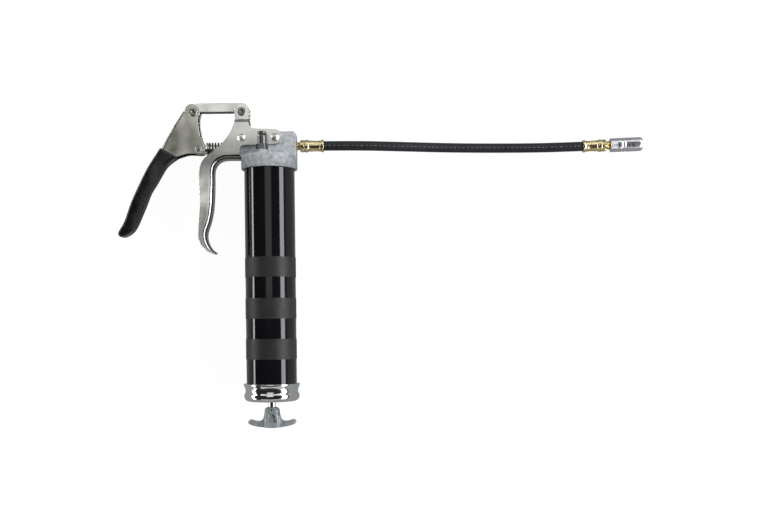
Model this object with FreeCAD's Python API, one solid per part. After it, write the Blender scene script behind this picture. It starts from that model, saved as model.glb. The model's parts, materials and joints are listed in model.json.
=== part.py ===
"""Pistol grip grease gun, lying on its side on a bench.

Millimetres. +X runs along the hose, +Y along the barrel to the pump head, +Z up.
The design frame has X = 0 on the barrel axis, Y = 0 on the pump plunger axis and
Z = 0 on the barrel axis. Every shape is moved to the footprint centre on export.
"""
import FreeCAD, Part
import math
import os

V = FreeCAD.Vector
X_AXIS = V(1, 0, 0)
Y_AXIS = V(0, 1, 0)
Z_AXIS = V(0, 0, 1)

# Placement of the whole gun: the footprint centre is the origin, the bench is Z = 0.
SHIFT = V(54.75, 133.6, 32.0)

# Barrel and its two ends
TUBE_R = 57.15 / 2
TUBE_WALL = 1.2
TUBE_TOP = -15.0
TUBE_BOTTOM = -284.0
LIP_R = 32.0
COLLAR_TOP = -8.5
COLLAR_BOTTOM = -24.2
ROOF_Y = -13.0
CAP_TOP = -268.0
CAP_END = -288.3
CAP_FLOOR = -286.3
BAND_RANGES = {
    "grip_band_upper": (-147.4, -124.9),
    "grip_band_middle": (-194.4, -171.2),
    "grip_band_lower": (-240.3, -217.2),
}
BAND_THICKNESS = 0.35

# Pump head tower
TOWER_LEFT = -34.0
TOWER_RIGHT = 31.4
TOWER_TOP = 18.2
TOWER_HALF = 9.0
PLUNGER_R = 4.75
PLUNGER_BORE_R = 4.80
PLUNGER_TIP = -8.5
OUTLET_Y = 2.5
SEAT_X = 11.0
BALL_R = 3.0
BALL_X = 13.25

# Linkage pivots
PIVOT_A = (-30.1, 41.3)
PIVOT_B = (-85.3, 41.1)
PIVOT_C = (-79.6, 0.0)
PIVOT_PIN_R = 3.40
PIVOT_HOLE_R = 3.45
LOOSE_HOLE_R = 4.00
CROSS_PIN_R = 2.60
CROSS_HOLE_R = 2.65

# Sheet metal widths, all half widths measured from the barrel axis
SHEET = 2.0
LINK_HALF = 5.5
LEVER_HALF = 8.0
LUG_HALF = 8.0
FRAME_HALF = 11.0
JOGGLE_LOW = 27.5
JOGGLE_HIGH = 32.0
GRIP_HALF = 10.0

RIVET_POINTS = {"frame_rivet_rear": (-30.2, 11.0), "frame_rivet_front": (8.0, 11.2)}
RIVET_R = 2.60
RIVET_HEAD_R = 4.75

# Vent valve beside the tower
VALVE_X = -6.1
VALVE_Z = 18.0

# Hose line: first the ferrule face at the head, last the ferrule face at the coupler
HOSE_R = 5.45
HOSE_BORE_R = 2.6
HOSE_POINTS = [
    (62.5, 2.50, 0.0),
    (99.0, 2.50, 0.0),
    (146.0, 2.45, -8.5),
    (202.0, 2.55, -21.0),
    (254.0, 2.50, -26.4),
    (306.0, 2.15, -26.4),
    (338.0, 2.20, -23.9),
    (363.0, 2.92, -23.9),
]

# Follower parts at the top of the stroke
FOLLOWER_TOP = -28.0
ROD_R = 4.0
HANDLE_PIN_AT = (0.0, -298.4)


def ring(outer, inner, start, end, axis="y", at=(0.0, 0.0)):
    """A plain tube or disc between two stations on one axis."""
    if axis == "x":
        base = V(start, at[0], at[1])
        way = X_AXIS
    elif axis == "y":
        base = V(at[0], start, at[1])
        way = Y_AXIS
    else:
        base = V(at[0], at[1], start)
        way = Z_AXIS
    shape = Part.makeCylinder(outer, end - start, base, way)
    if inner > 0:
        shape = shape.cut(Part.makeCylinder(inner, end - start, base, way))
    return shape


def block(x0, x1, y0, y1, z0, z1):
    return Part.makeBox(x1 - x0, y1 - y0, z1 - z0, V(x0, y0, z0))


def smooth(points):
    """One smooth edge through plan points."""
    curve = Part.BSplineCurve()
    curve.interpolate([V(x, y, 0) for x, y in points])
    return curve.toShape()


def smooth_parts(points, count):
    """One smooth line through plan points, as several edges that meet without a kink."""
    curve = Part.BSplineCurve()
    curve.interpolate([V(x, y, 0) for x, y in points])
    first = curve.FirstParameter
    step = (curve.LastParameter - first) / count
    return [curve.toShape(first + step * part, first + step * (part + 1)) for part in range(count)]


def straight(first, second):
    return Part.makeLine(V(first[0], first[1], 0), V(second[0], second[1], 0))


def arc(first, middle, last):
    return Part.Arc(
        V(first[0], first[1], 0), V(middle[0], middle[1], 0), V(last[0], last[1], 0)
    ).toShape()


def prism(edges, low, high):
    """A plan outline pulled up between two heights."""
    face = Part.Face(Part.Wire(edges))
    face.translate(V(0, 0, low))
    return face.extrude(V(0, 0, high - low))


def turned(profile, axis="y"):
    """A closed profile of (radius, station) corners turned about one axis."""
    if axis == "y":
        corners = [V(r, s, 0) for r, s in profile]
        way = Y_AXIS
    else:
        corners = [V(s, r, 0) for r, s in profile]
        way = X_AXIS
    corners.append(corners[0])
    face = Part.Face(Part.makePolygon(corners))
    return face.revolve(V(0, 0, 0), way, 360)


def hexagon(across, start, end, axis="x", turn=0.0):
    """A hexagonal bar along one axis, centred on it."""
    radius = across / math.sqrt(3)
    corners = []
    for step in range(7):
        angle = math.radians(60 * step + turn)
        a = radius * math.cos(angle)
        b = radius * math.sin(angle)
        corners.append(V(start, a, b) if axis == "x" else V(a, start, b))
    face = Part.Face(Part.makePolygon(corners))
    way = X_AXIS if axis == "x" else Y_AXIS
    return face.extrude(way * (end - start))


def coil(radius, wire, start, end, turns, axis="x", at=(0.0, 0.0)):
    """An open helical spring between two stations, wire ends inside them."""
    length = end - start - 2 * wire
    helix = Part.makeHelix(length / turns, length, radius)
    section = Part.Wire([Part.makeCircle(wire, V(radius, 0, 0), Y_AXIS)])
    shape = Part.Wire(helix).makePipeShell([section], True, True)
    if axis == "x":
        shape.rotate(V(0, 0, 0), Y_AXIS, 90)
        shape.translate(V(start + wire, at[0], at[1]))
    else:
        shape.rotate(V(0, 0, 0), X_AXIS, -90)
        shape.translate(V(at[0], start + wire, at[1]))
    return shape


def edges_between(shape, low, high):
    """Edges whose every corner and middle lies inside one box."""
    found = []
    for edge in shape.Edges:
        box = edge.BoundBox
        inside = box.XMin >= low[0] and box.XMax <= high[0]
        inside = inside and box.YMin >= low[1] and box.YMax <= high[1]
        if inside and box.ZMin >= low[2] and box.ZMax <= high[2]:
            found.append(edge)
    return found


def pivot_rivet(at, half, shank, head, head_height, hole):
    """A pin along Z with a rolled head and a drilled end on both sides."""
    shape = ring(shank, 0, -half, half, "z", at)
    for side in (-1, 1):
        cap = ring(head, 0, 0, head_height, "z")
        cap = cap.makeFillet(head_height * 0.7, edges_between(
            cap, (-20, -20, head_height - 0.01), (20, 20, head_height + 0.01)))
        if side < 0:
            cap.rotate(V(0, 0, 0), X_AXIS, 180)
        cap.translate(V(at[0], at[1], side * half))
        shape = shape.fuse(cap)
        low = half + head_height - 3.2
        if side > 0:
            drill = ring(hole, 0, low, half + head_height + 1, "z", at)
        else:
            drill = ring(hole, 0, -half - head_height - 1, -low, "z", at)
        shape = shape.cut(drill)
    return shape.removeSplitter()


# ---------------------------------------------------------------- pump head

def head_casting():
    collar = ring(LIP_R, 0, COLLAR_BOTTOM, COLLAR_TOP)
    collar = collar.makeFillet(1.4, edges_between(
        collar, (-40, COLLAR_TOP - 0.1, -40), (40, COLLAR_TOP + 0.1, 40)))
    tower = block(TOWER_LEFT, TOWER_RIGHT, COLLAR_TOP - 1.9, TOWER_TOP, -TOWER_HALF, TOWER_HALF)
    tower = tower.makeFillet(4.0, edges_between(
        tower, (-40, TOWER_TOP - 0.1, -20), (TOWER_LEFT + 0.1, TOWER_TOP + 0.1, 20))
        + edges_between(
        tower, (TOWER_RIGHT - 0.1, TOWER_TOP - 0.1, -20), (40, TOWER_TOP + 0.1, 20)))
    tower = tower.common(block(-40, 31.9, -40, 40, -40, 40))
    shape = collar.fuse(tower)
    shape = shape.fuse(ring(7.0, 0, -35.6, -30.0, "x"))
    shape = shape.fuse(ring(5.2, 0, -TOWER_HALF, TOWER_HALF, "z", RIVET_POINTS["frame_rivet_rear"]))
    shape = shape.fuse(ring(7.2, 0, -10.0, -4.2, "y", (VALVE_X, VALVE_Z)))
    cuts = [
        ring(28.70, 0, COLLAR_BOTTOM - 1, ROOF_Y),
        ring(PLUNGER_BORE_R, 0, -40.0, 8.0, "x"),
        ring(6.30, 0, -40.0, -22.0, "x"),
        ring(2.00, 0, 7.0, SEAT_X + 1, "x", (OUTLET_Y, 0)),
        ring(4.20, 0, SEAT_X, 22.0, "x", (OUTLET_Y, 0)),
        ring(4.90, 0, 21.0, 40.0, "x", (OUTLET_Y, 0)),
        ring(2.50, 0, ROOF_Y - 1, 0.0, "y", (-5.0, 0)),
        ring(2.00, 0, ROOF_Y - 1, -4.0, "y", (VALVE_X, VALVE_Z)),
        ring(4.00, 0, -9.5, -4.0, "y", (VALVE_X, VALVE_Z)),
    ]
    for at in RIVET_POINTS.values():
        cuts.append(ring(RIVET_R + 0.02, 0, -20, 20, "z", at))
    for tool in cuts:
        shape = shape.cut(tool)
    return shape.removeSplitter()


def plunger_gland_nut():
    flange = hexagon(15.6, -37.4, -35.6).common(ring(8.2, 0, -37.4, -35.6, "x"))
    shape = flange.fuse(ring(6.25, 0, -35.6, -26.0, "x"))
    return shape.cut(ring(PLUNGER_BORE_R, 0, -40, -20, "x"))


def plunger_packing():
    return ring(6.25, PLUNGER_BORE_R, -26.0, -22.0, "x")


def barrel_gasket():
    return ring(28.60, 25.5, TUBE_TOP, ROOF_Y)


def check_ball():
    return Part.makeSphere(BALL_R, V(BALL_X, OUTLET_Y, 0))


def check_spring():
    return coil(2.3, 0.4, BALL_X + 2.25, 21.6, 3, "x", (OUTLET_Y, 0))


def frame_rivet(at):
    shape = ring(RIVET_R, 0, -FRAME_HALF, FRAME_HALF, "z", at)
    rise = 2.5
    dome_r = (RIVET_HEAD_R ** 2 + rise ** 2) / (2 * rise)
    for side in (-1, 1):
        centre = V(at[0], at[1], side * (FRAME_HALF + rise - dome_r))
        ball = Part.makeSphere(dome_r, centre)
        if side > 0:
            keep = ring(10, 0, FRAME_HALF, FRAME_HALF + 10, "z", at)
        else:
            keep = ring(10, 0, -FRAME_HALF - 10, -FRAME_HALF, "z", at)
        shape = shape.fuse(ball.common(keep))
    return shape.removeSplitter()


# ---------------------------------------------------------------- vent valve

def vent_valve_body():
    hexa = hexagon(12.2, -4.2, 2.0, "y", 0).common(ring(6.9, 0, -4.2, 2.0))
    shape = ring(3.95, 0, -9.5, -4.2).fuse(hexa)
    shape = shape.fuse(ring(5.0, 0, 2.0, 11.5))
    bore = ring(1.70, 0, -10.0, 12.0)
    pocket = ring(3.30, 0, -2.0, 10.0)
    shape = shape.cut(bore).cut(pocket)
    shape.translate(V(VALVE_X, 0, VALVE_Z))
    return shape.removeSplitter()


def vent_button():
    shape = ring(1.60, 0, -6.0, 13.6)
    shape = shape.fuse(ring(3.20, 0, 4.1, 5.6))
    cap = ring(4.9, 0, 13.6, 16.4)
    cap = cap.makeFillet(0.9, edges_between(cap, (-9, 16.3, -9), (9, 16.5, 9)))
    shape = shape.fuse(cap)
    shape.translate(V(VALVE_X, 0, VALVE_Z))
    return shape.removeSplitter()


def vent_spring():
    return coil(2.3, 0.4, -2.0, 4.1, 3, "y", (VALVE_X, VALVE_Z))


# ---------------------------------------------------------------- frame and front handle

HANDLE_BACK = [
    (-37.9, 33.0), (-38.2, 29.0), (-39.8, 24.3), (-42.7, 17.4), (-46.9, 11.4),
    (-51.9, 5.4), (-58.9, -0.5), (-65.3, -5.6), (-72.0, -11.2), (-75.9, -16.5),
    (-78.0, -22.6), (-78.7, -31.0), (-78.4, -49.8), (-78.1, -60.0), (-78.8, -73.7),
    (-79.8, -85.6), (-80.4, -97.5), (-79.6, -104.7), (-76.9, -110.4), (-71.9, -115.8),
    (-66.6, -118.9), (-62.6, -119.4),
]
HANDLE_WEB = [
    (-61.1, -117.8), (-64.5, -115.7), (-67.8, -111.6), (-70.2, -106.6), (-71.5, -101.0),
    (-71.1, -94.6), (-68.5, -86.6), (-65.7, -76.2), (-63.9, -64.1), (-63.0, -48.1),
    (-62.7, -36.0), (-62.5, -26.4), (-61.4, -21.3), (-58.9, -17.3), (-55.1, -14.3),
    (-50.5, -12.8), (-45.5, -12.5), (-39.0, -12.5), (-32.6, -12.5),
]
WEB_END = HANDLE_WEB[-1]


def offset_points(points, distance):
    """Plan points moved sideways, to the left of the direction of travel."""
    moved = []
    last = len(points) - 1
    for index, (x, y) in enumerate(points):
        before = points[max(index - 1, 0)]
        after = points[min(index + 1, last)]
        dx = after[0] - before[0]
        dy = after[1] - before[1]
        size = math.hypot(dx, dy)
        moved.append((x - dy / size * distance, y + dx / size * distance))
    return moved


def frame_outline():
    """The flat outline of both frame plates, in plan."""
    ax, ay = PIVOT_A
    lug = 8.2
    back = smooth([(ax - lug + 0.1, 36.5)] + HANDLE_BACK)
    nose = straight(HANDLE_BACK[-1], HANDLE_WEB[0])
    web = smooth(HANDLE_WEB)
    rise = straight(WEB_END, (WEB_END[0], -3.0))
    half = math.sqrt(0.5) * 5.4
    elbow_mid = (WEB_END[0] + 5.4 - half, -3.0 + half)
    elbow = arc((WEB_END[0], -3.0), elbow_mid, (WEB_END[0] + 5.4, 2.4))
    low_edge = straight((WEB_END[0] + 5.4, 2.4), (7.2, 3.1))
    end_r = 8.6
    tip = arc((7.2, 3.1), (7.2 + end_r, 3.1 + end_r), (7.2, 3.1 + 2 * end_r))
    top_edge = straight((7.2, 3.1 + 2 * end_r), (-15.5, 21.2))
    neck = smooth([(-15.5, 21.2), (-19.2, 22.6), (-21.6, 25.8), (-22.1, 29.5)])
    side = straight((-22.1, 29.5), (ax + lug, ay))
    crown = arc((ax + lug, ay), (ax, ay + 9.7), (ax - lug, ay))
    close = straight((ax - lug, ay), (ax - lug + 0.1, 36.5))
    return [back, nose, web, rise, elbow, low_edge, tip, top_edge, neck, side, crown, close]


def long_curved_edges(shape, height, shortest, rightmost):
    """Long edges at one height that lie wholly to the left of one station."""
    found = []
    for edge in shape.Edges:
        box = edge.BoundBox
        flat = abs(box.ZMin - height) < 0.01 and abs(box.ZMax - height) < 0.01
        curved = isinstance(edge.Curve, Part.BSplineCurve)
        if flat and curved and edge.Length > shortest and box.XMax < rightmost:
            found.append(edge)
    return found


def web_edges(shape, half):
    """Both long outer edges of the web: its curve ends low, at the head."""
    found = []
    for height in (-half, half):
        for edge in long_curved_edges(shape, height, 100, -30):
            if edge.BoundBox.YMax < 0:
                found.append(edge)
    return found


def joggled_plates(outline):
    """The plates above the body: they step inwards to the link lugs."""
    inner = FRAME_HALF - SHEET
    lug_inner = LUG_HALF - SHEET
    profile = [
        (JOGGLE_LOW - 2.0, inner), (JOGGLE_LOW, inner), (JOGGLE_HIGH, lug_inner),
        (60, lug_inner), (60, LUG_HALF), (JOGGLE_HIGH + 0.8, LUG_HALF),
        (JOGGLE_LOW + 0.8, FRAME_HALF), (JOGGLE_LOW - 2.0, FRAME_HALF),
    ]
    solid = prism(outline, -20, 20)
    plates = []
    for side in (-1, 1):
        corners = [V(-60, y, side * z) for y, z in profile]
        corners.append(corners[0])
        slab = Part.Face(Part.makePolygon(corners)).extrude(V(60, 0, 0))
        plates.append(solid.common(slab))
    return plates


def front_handle():
    outline = frame_outline()
    outer = prism(outline, -FRAME_HALF, FRAME_HALF)
    outer = outer.makeFillet(4.8, web_edges(outer, FRAME_HALF))
    inner_half = FRAME_HALF - SHEET
    inside = offset_points(HANDLE_WEB, SHEET)
    floor_y = WEB_END[1] + SHEET
    far = -95.0
    edges = [
        smooth(inside),
        straight(inside[-1], (inside[-1][0], 60.0)),
        straight((inside[-1][0], 60.0), (far, 60.0)),
        straight((far, 60.0), (far, -130.0)),
        straight((far, -130.0), (-50.0, -130.0)),
        straight((-50.0, -130.0), inside[0]),
    ]
    hollow = prism(edges, -inner_half, inner_half)
    hollow = hollow.makeFillet(2.8, web_edges(hollow, inner_half))
    hollow = hollow.fuse(block(-33.5, 60, floor_y, 60, -inner_half, inner_half))
    shape = outer.cut(hollow)
    shape = shape.common(block(-100, 60, -130, JOGGLE_LOW - 1.0, -20, 20))
    for plate in joggled_plates(outline):
        shape = shape.fuse(plate)
    shape = shape.cut(ring(PIVOT_PIN_R, 0, -20, 20, "z", PIVOT_A))
    for at in RIVET_POINTS.values():
        shape = shape.cut(ring(RIVET_R + 0.02, 0, -20, 20, "z", at))
    return shape.removeSplitter()


# ---------------------------------------------------------------- lever, link, plunger

LEVER_BACK = [
    (-94.5, 43.8), (-96.0, 42.8), (-97.6, 41.5), (-99.8, 38.1), (-105.4, 29.4),
    (-110.7, 20.7), (-115.9, 12.0), (-120.4, 3.3), (-124.5, -4.0), (-130.6, -13.1),
    (-135.6, -21.0), (-140.3, -29.5), (-144.4, -37.6), (-148.4, -45.9), (-151.8, -53.1),
    (-155.5, -61.6), (-159.0, -71.3), (-162.8, -81.7), (-166.5, -89.4),
]
LEVER_FRONT = [
    (-157.0, -91.1), (-153.6, -86.0), (-150.4, -79.0), (-146.9, -70.9), (-143.3, -62.7),
    (-140.2, -54.7), (-137.1, -47.6), (-131.6, -39.1), (-127.8, -32.4), (-123.4, -25.1),
    (-119.4, -19.0), (-115.0, -14.7), (-109.9, -10.9), (-103.7, -9.0), (-99.3, -7.6),
    (-94.9, -6.3), (-90.6, -5.7), (-85.0, -5.8), (-77.4, -6.3),
]
LEVER_EDGE = [
    (-72.7, -1.1), (-72.9, 2.3), (-73.8, 5.3), (-75.6, 9.4), (-77.3, 14.0),
    (-78.4, 19.3), (-79.3, 24.5), (-79.7, 29.8), (-79.6, 35.0), (-79.0, 38.0),
]
SLEEVE_BACK = [
    (-123.2, 1.2), (-125.9, -3.1), (-132.0, -12.2), (-137.1, -20.1), (-141.8, -28.7),
    (-145.9, -36.9), (-149.9, -45.2), (-153.3, -52.4), (-157.1, -61.0), (-160.6, -70.7),
    (-164.4, -81.0), (-168.0, -88.0),
]
SLEEVE_TIP = [(-171.2, -93.2), (-171.9, -96.8), (-169.8, -99.2), (-165.4, -98.9)]
SLEEVE_FRONT = [
    (-160.2, -96.3), (-155.7, -92.2), (-152.1, -86.8), (-148.8, -79.7), (-145.3, -71.6),
    (-141.7, -63.3), (-138.6, -55.3), (-135.6, -48.4), (-130.2, -40.0), (-126.3, -33.3),
    (-122.0, -26.0), (-118.1, -20.1), (-113.9, -16.0), (-108.9, -12.3), (-104.3, -9.4),
]


def lever_outline():
    back = smooth(LEVER_BACK)
    toe = straight(LEVER_BACK[-1], LEVER_FRONT[0])
    front = smooth(LEVER_FRONT)
    corner = arc(LEVER_FRONT[-1], (-74.2, -5.0), LEVER_EDGE[0])
    edge = smooth(LEVER_EDGE)
    crown = arc(LEVER_EDGE[-1], (-85.6, 50.5), LEVER_BACK[0])
    return [back, toe, front, corner, edge, crown]


def rear_lever():
    outer = prism(lever_outline(), -LEVER_HALF, LEVER_HALF)
    bends = []
    for height in (-LEVER_HALF, LEVER_HALF):
        for edge in long_curved_edges(outer, height, 140, -90):
            bends.append(edge)
    outer = outer.makeFillet(2.6, bends)
    half = LEVER_HALF - SHEET
    inside = offset_points(LEVER_BACK, SHEET)
    edges = [
        smooth(inside),
        straight(inside[-1], (-150.0, -110.0)),
        straight((-150.0, -110.0), (-60.0, -110.0)),
        straight((-60.0, -110.0), (-60.0, 60.0)),
        straight((-60.0, 60.0), (inside[0][0], 60.0)),
        straight((inside[0][0], 60.0), inside[0]),
    ]
    hollow = prism(edges, -half, half)
    shape = outer.cut(hollow)
    shape = shape.cut(ring(8.9, 0, -half, half, "z", PIVOT_B))
    shape = shape.cut(ring(PIVOT_PIN_R, 0, -20, 20, "z", PIVOT_B))
    shape = shape.cut(ring(CROSS_PIN_R, 0, -20, 20, "z", PIVOT_C))
    return shape.removeSplitter()


def lever_grip():
    mouth = straight(SLEEVE_FRONT[-1], SLEEVE_BACK[0])
    edges = smooth_parts(SLEEVE_BACK + SLEEVE_TIP + SLEEVE_FRONT, 4) + [mouth]
    shape = prism(edges, -GRIP_HALF, GRIP_HALF)
    rims = long_curved_edges(shape, GRIP_HALF, 10, -100)
    rims += long_curved_edges(shape, -GRIP_HALF, 10, -100)
    shape = shape.makeFillet(2.8, rims)
    core = prism(lever_outline(), -LEVER_HALF - 0.02, LEVER_HALF + 0.02)
    return shape.cut(core).removeSplitter()


def top_link():
    ax, ay = PIVOT_A
    bx, by = PIVOT_B
    lobe = 7.4
    corner = 6.0
    left = bx - 0.5
    right = ax + 0.5
    low = by + 0.5
    high = by + 10.5
    dip = corner * (1 - math.sqrt(0.5))
    bar = prism([
        straight((left, low), (right, low)),
        straight((right, low), (right, high - corner)),
        arc((right, high - corner), (right - dip, high - dip), (right - corner, high)),
        straight((right - corner, high), (left + corner, high)),
        arc((left + corner, high), (left + dip, high - dip), (left, high - corner)),
        straight((left, high - corner), (left, low)),
    ], -LINK_HALF, LINK_HALF)
    crown = []
    for edge in bar.Edges:
        box = edge.BoundBox
        if box.XMax - box.XMin > 40 and box.YMin > by + 5:
            crown.append(edge)
    bar = bar.makeFillet(1.6, crown)
    shape = ring(lobe, 0, -LINK_HALF, LINK_HALF, "z", PIVOT_A)
    shape = shape.fuse(ring(lobe, 0, -LINK_HALF, LINK_HALF, "z", PIVOT_B))
    shape = shape.fuse(bar).removeSplitter()
    half = LINK_HALF - SHEET
    shape = shape.cut(block(bx - 20, ax + 20, by - 20, high - SHEET, -half, half))
    shape = shape.cut(ring(PIVOT_HOLE_R, 0, -20, 20, "z", PIVOT_A))
    return shape.cut(ring(LOOSE_HOLE_R, 0, -20, 20, "z", PIVOT_B))


def pump_plunger():
    shape = ring(PLUNGER_R, 0, PIVOT_C[0] - 5.0, PLUNGER_TIP, "x")
    flats = block(PIVOT_C[0] - 6, PIVOT_C[0] + 6, -8, 8, 4.0, 9)
    shape = shape.cut(flats)
    flats = block(PIVOT_C[0] - 6, PIVOT_C[0] + 6, -8, 8, -9, -4.0)
    shape = shape.cut(flats)
    return shape.cut(ring(CROSS_HOLE_R, 0, -20, 20, "z", PIVOT_C))


def plunger_spring_seat():
    return ring(7.7, PLUNGER_R, -71.0, -69.8, "x")


def return_spring():
    return coil(7.0, 0.8, -69.8, -37.4, 10, "x")


# ---------------------------------------------------------------- barrel and follower

def barrel_tube():
    return ring(TUBE_R, TUBE_R - TUBE_WALL, TUBE_BOTTOM, TUBE_TOP)


def grip_band(low, high):
    return ring(TUBE_R + BAND_THICKNESS, TUBE_R, low, high)


CAP_PROFILE = [
    (28.7, 0.0), (30.6, 0.0), (31.6, -0.25), (32.0, -1.0), (31.85, -1.9), (31.4, -3.0),
    (30.8, -4.4), (30.2, -6.2), (30.0, -8.0), (30.1, -9.6), (30.6, -11.0), (31.2, -12.2),
    (31.5, -13.6), (31.4, -15.2), (30.9, -16.8), (30.0, -18.2), (28.7, -19.4), (26.8, -20.1),
]


def barrel_cap():
    profile = [(radius, CAP_TOP + station) for radius, station in CAP_PROFILE]
    profile += [(24.0, CAP_END), (6.5, CAP_END), (6.5, CAP_FLOOR), (28.7, CAP_FLOOR)]
    return turned(profile)


def rod_bushing():
    profile = [(4.05, -289.4), (6.45, -289.4), (6.45, -286.3), (9.5, -286.3), (9.5, -284.6),
               (4.05, -284.6)]
    return turned(profile)


def rod_seal():
    return ring(7.0, 4.05, -284.6, -282.4)


def follower_rod():
    shape = ring(ROD_R, 0, -301.0, -21.0)
    return shape.cut(ring(1.25, 0, -9.0, 9.0, "z", HANDLE_PIN_AT))


def follower_cup():
    top = FOLLOWER_TOP - 1.5
    profile = [(4.6, top), (24.2, top), (26.2, top + 4.5), (27.3, top + 4.5), (27.3, top - 13),
               (25.4, top - 13), (24.6, top - 4.0), (4.6, top - 4.0)]
    return turned(profile)


def follower_disc(high):
    return ring(22.5, 4.06, high - 1.5, high)


def follower_nut():
    return hexagon(13.0, FOLLOWER_TOP + 0.3, -22.0, "y").cut(ring(ROD_R, 0, -40, -20))


def follower_clip():
    high = FOLLOWER_TOP - 7.3
    return ring(7.5, ROD_R, high - 1.6, high)


def follower_spring():
    return coil(15.0, 1.1, CAP_FLOOR, FOLLOWER_TOP - 7.0, 16, "y")


def rod_handle():
    top = [(-27.2, -311.2), (-24.9, -309.2), (-21.0, -310.0), (-15.7, -311.0), (-11.6, -309.8),
           (-9.6, -305.0)]
    bottom = [(27.2, -311.2), (27.0, -313.4), (24.6, -315.0), (17.7, -317.0), (8.3, -318.4),
              (0.0, -318.8), (-8.3, -318.4), (-17.7, -317.0), (-24.6, -315.0), (-27.0, -313.4),
              (-27.2, -311.2)]
    mirrored = [(-x, y) for x, y in reversed(top)]
    edges = [smooth(top), straight(top[-1], mirrored[0]), smooth(mirrored), smooth(bottom)]
    wings = prism(edges, -4.0, 4.0)
    rims = []
    for edge in wings.Edges:
        box = edge.BoundBox
        if box.ZMax - box.ZMin < 0.01 and edge.Length > 21:
            rims.append(edge)
    wings = wings.makeFillet(1.5, [e for e in rims if e.BoundBox.YMax < -311.0])
    hub = turned([(0, -294.9), (4.3, -294.9), (7.0, -295.8), (8.5, -297.8), (8.9, -302.0),
                  (9.6, -307.0), (9.9, -312.0), (9.0, -317.6), (7.4, -318.6), (0, -318.6)])
    hub = hub.common(block(-20, 20, -320, -290, -7.0, 7.0))
    shape = hub.fuse(wings)
    shape = shape.cut(ring(ROD_R, 0, -301.0, -290.0))
    shape = shape.cut(ring(1.25, 0, -9.0, 9.0, "z", HANDLE_PIN_AT))
    pocket = prism([straight((-3.2, -303.0), (3.2, -303.0)), straight((3.2, -303.0), (5.4, -312.6)),
                    straight((5.4, -312.6), (-5.4, -312.6)),
                    straight((-5.4, -312.6), (-3.2, -303.0))], 5.0, 9.0)
    return shape.cut(pocket).removeSplitter()


def handle_pin():
    return ring(1.25, 0, -6.9, 6.9, "z", HANDLE_PIN_AT)


# ---------------------------------------------------------------- hose and coupler

def nipple(shank_end, hex_start, hex_end, tail_end):
    """A hexagon nipple: threaded shank on the left, hose tail on the right."""
    shape = ring(4.85, 0, shank_end, hex_start, "x")
    rounding = turned([(0, hex_start), (6.7, hex_start), (7.7, hex_start + 0.7),
                       (7.7, hex_end - 0.7), (6.7, hex_end), (0, hex_end)], "x")
    shape = shape.fuse(hexagon(12.9, hex_start, hex_end, "x").common(rounding))
    shape = shape.fuse(ring(2.55, 0, hex_end, tail_end, "x"))
    return shape.cut(ring(1.6, 0, shank_end - 1, tail_end + 1, "x"))


FERRULE_LINE = [
    (0.00, 6.9), (0.05, 7.2), (0.12, 7.2), (0.18, 6.9), (0.22, 6.5), (0.235, 6.2), (0.265, 6.2),
    (0.28, 6.4), (0.40, 6.15), (0.60, 6.15), (0.78, 6.4), (0.80, 6.2), (0.83, 6.2), (0.845, 6.6),
    (0.90, 7.1), (0.96, 7.2), (1.00, 7.0),
]


def ferrule(start, end):
    """A crimped brass ferrule with a waist and two grooves, closed round the hose tail."""
    length = end - start
    profile = [(2.6, start)]
    for part, radius in FERRULE_LINE:
        profile.append((radius, start + part * length))
    profile += [(5.5, end), (5.5, end - 2.0), (2.6, end - 2.0)]
    return turned(profile, "x")


def head_end(shape):
    shape.translate(V(0, OUTLET_Y, 0))
    return shape


def far_direction():
    before = V(*HOSE_POINTS[-2])
    last = V(*HOSE_POINTS[-1])
    return (last - before).normalize()


def far_end(shape):
    """Pieces drawn along +X from the origin, laid along the coupler end of the hose."""
    way = far_direction()
    shape.rotate(V(0, 0, 0), Z_AXIS, math.degrees(math.atan2(way.y, way.x)))
    shape.translate(V(*HOSE_POINTS[-1]))
    return shape


def mirrored(shape):
    return shape.mirror(V(0, 0, 0), X_AXIS)


def hose():
    points = [V(*point) for point in HOSE_POINTS]
    edges = []
    current = points[0]
    for index in range(1, len(points) - 1):
        before = points[index] - points[index - 1]
        after = points[index + 1] - points[index]
        turn = before.getAngle(after)
        trim = 0.45 * min(before.Length, after.Length)
        radius = trim / math.tan(turn / 2)
        enter = points[index] - before.normalize() * trim
        leave = points[index] + after.normalize() * trim
        bend = after - before
        bend.normalize()
        reach = radius / math.cos(turn / 2) - radius
        middle = points[index] + bend * reach
        edges.append(Part.LineSegment(current, enter).toShape())
        edges.append(Part.Arc(enter, middle, leave).toShape())
        print("hose bend", index, "radius", round(radius, 1))
        current = leave
    edges.append(Part.LineSegment(current, points[-1]).toShape())
    path = Part.Wire(edges)
    outer = Part.Wire([Part.makeCircle(HOSE_R, points[0], X_AXIS)])
    inner = Part.Wire([Part.makeCircle(HOSE_BORE_R, points[0], X_AXIS)])
    shape = path.makePipeShell([outer], True, True)
    shape = shape.cut(path.makePipeShell([inner], True, True))
    expected = math.pi * (HOSE_R ** 2 - HOSE_BORE_R ** 2) * path.Length
    print("hose volume", round(shape.Volume, 1), "expected", round(expected, 1))
    return shape


def hose_nipple_rear():
    return head_end(nipple(21.6, 35.7, 40.4, 60.4))


def hose_ferrule_rear():
    return head_end(ferrule(40.4, 62.5))


def hose_ferrule_front():
    return far_end(mirrored(ferrule(-22.1, 0.0)))


def hose_nipple_front():
    return far_end(mirrored(nipple(-41.0, -26.9, -22.1, -2.1)))


COUPLER_START = 31.9
COUPLER_LENGTH = 37.0
COUPLER_R = 8.1


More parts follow.
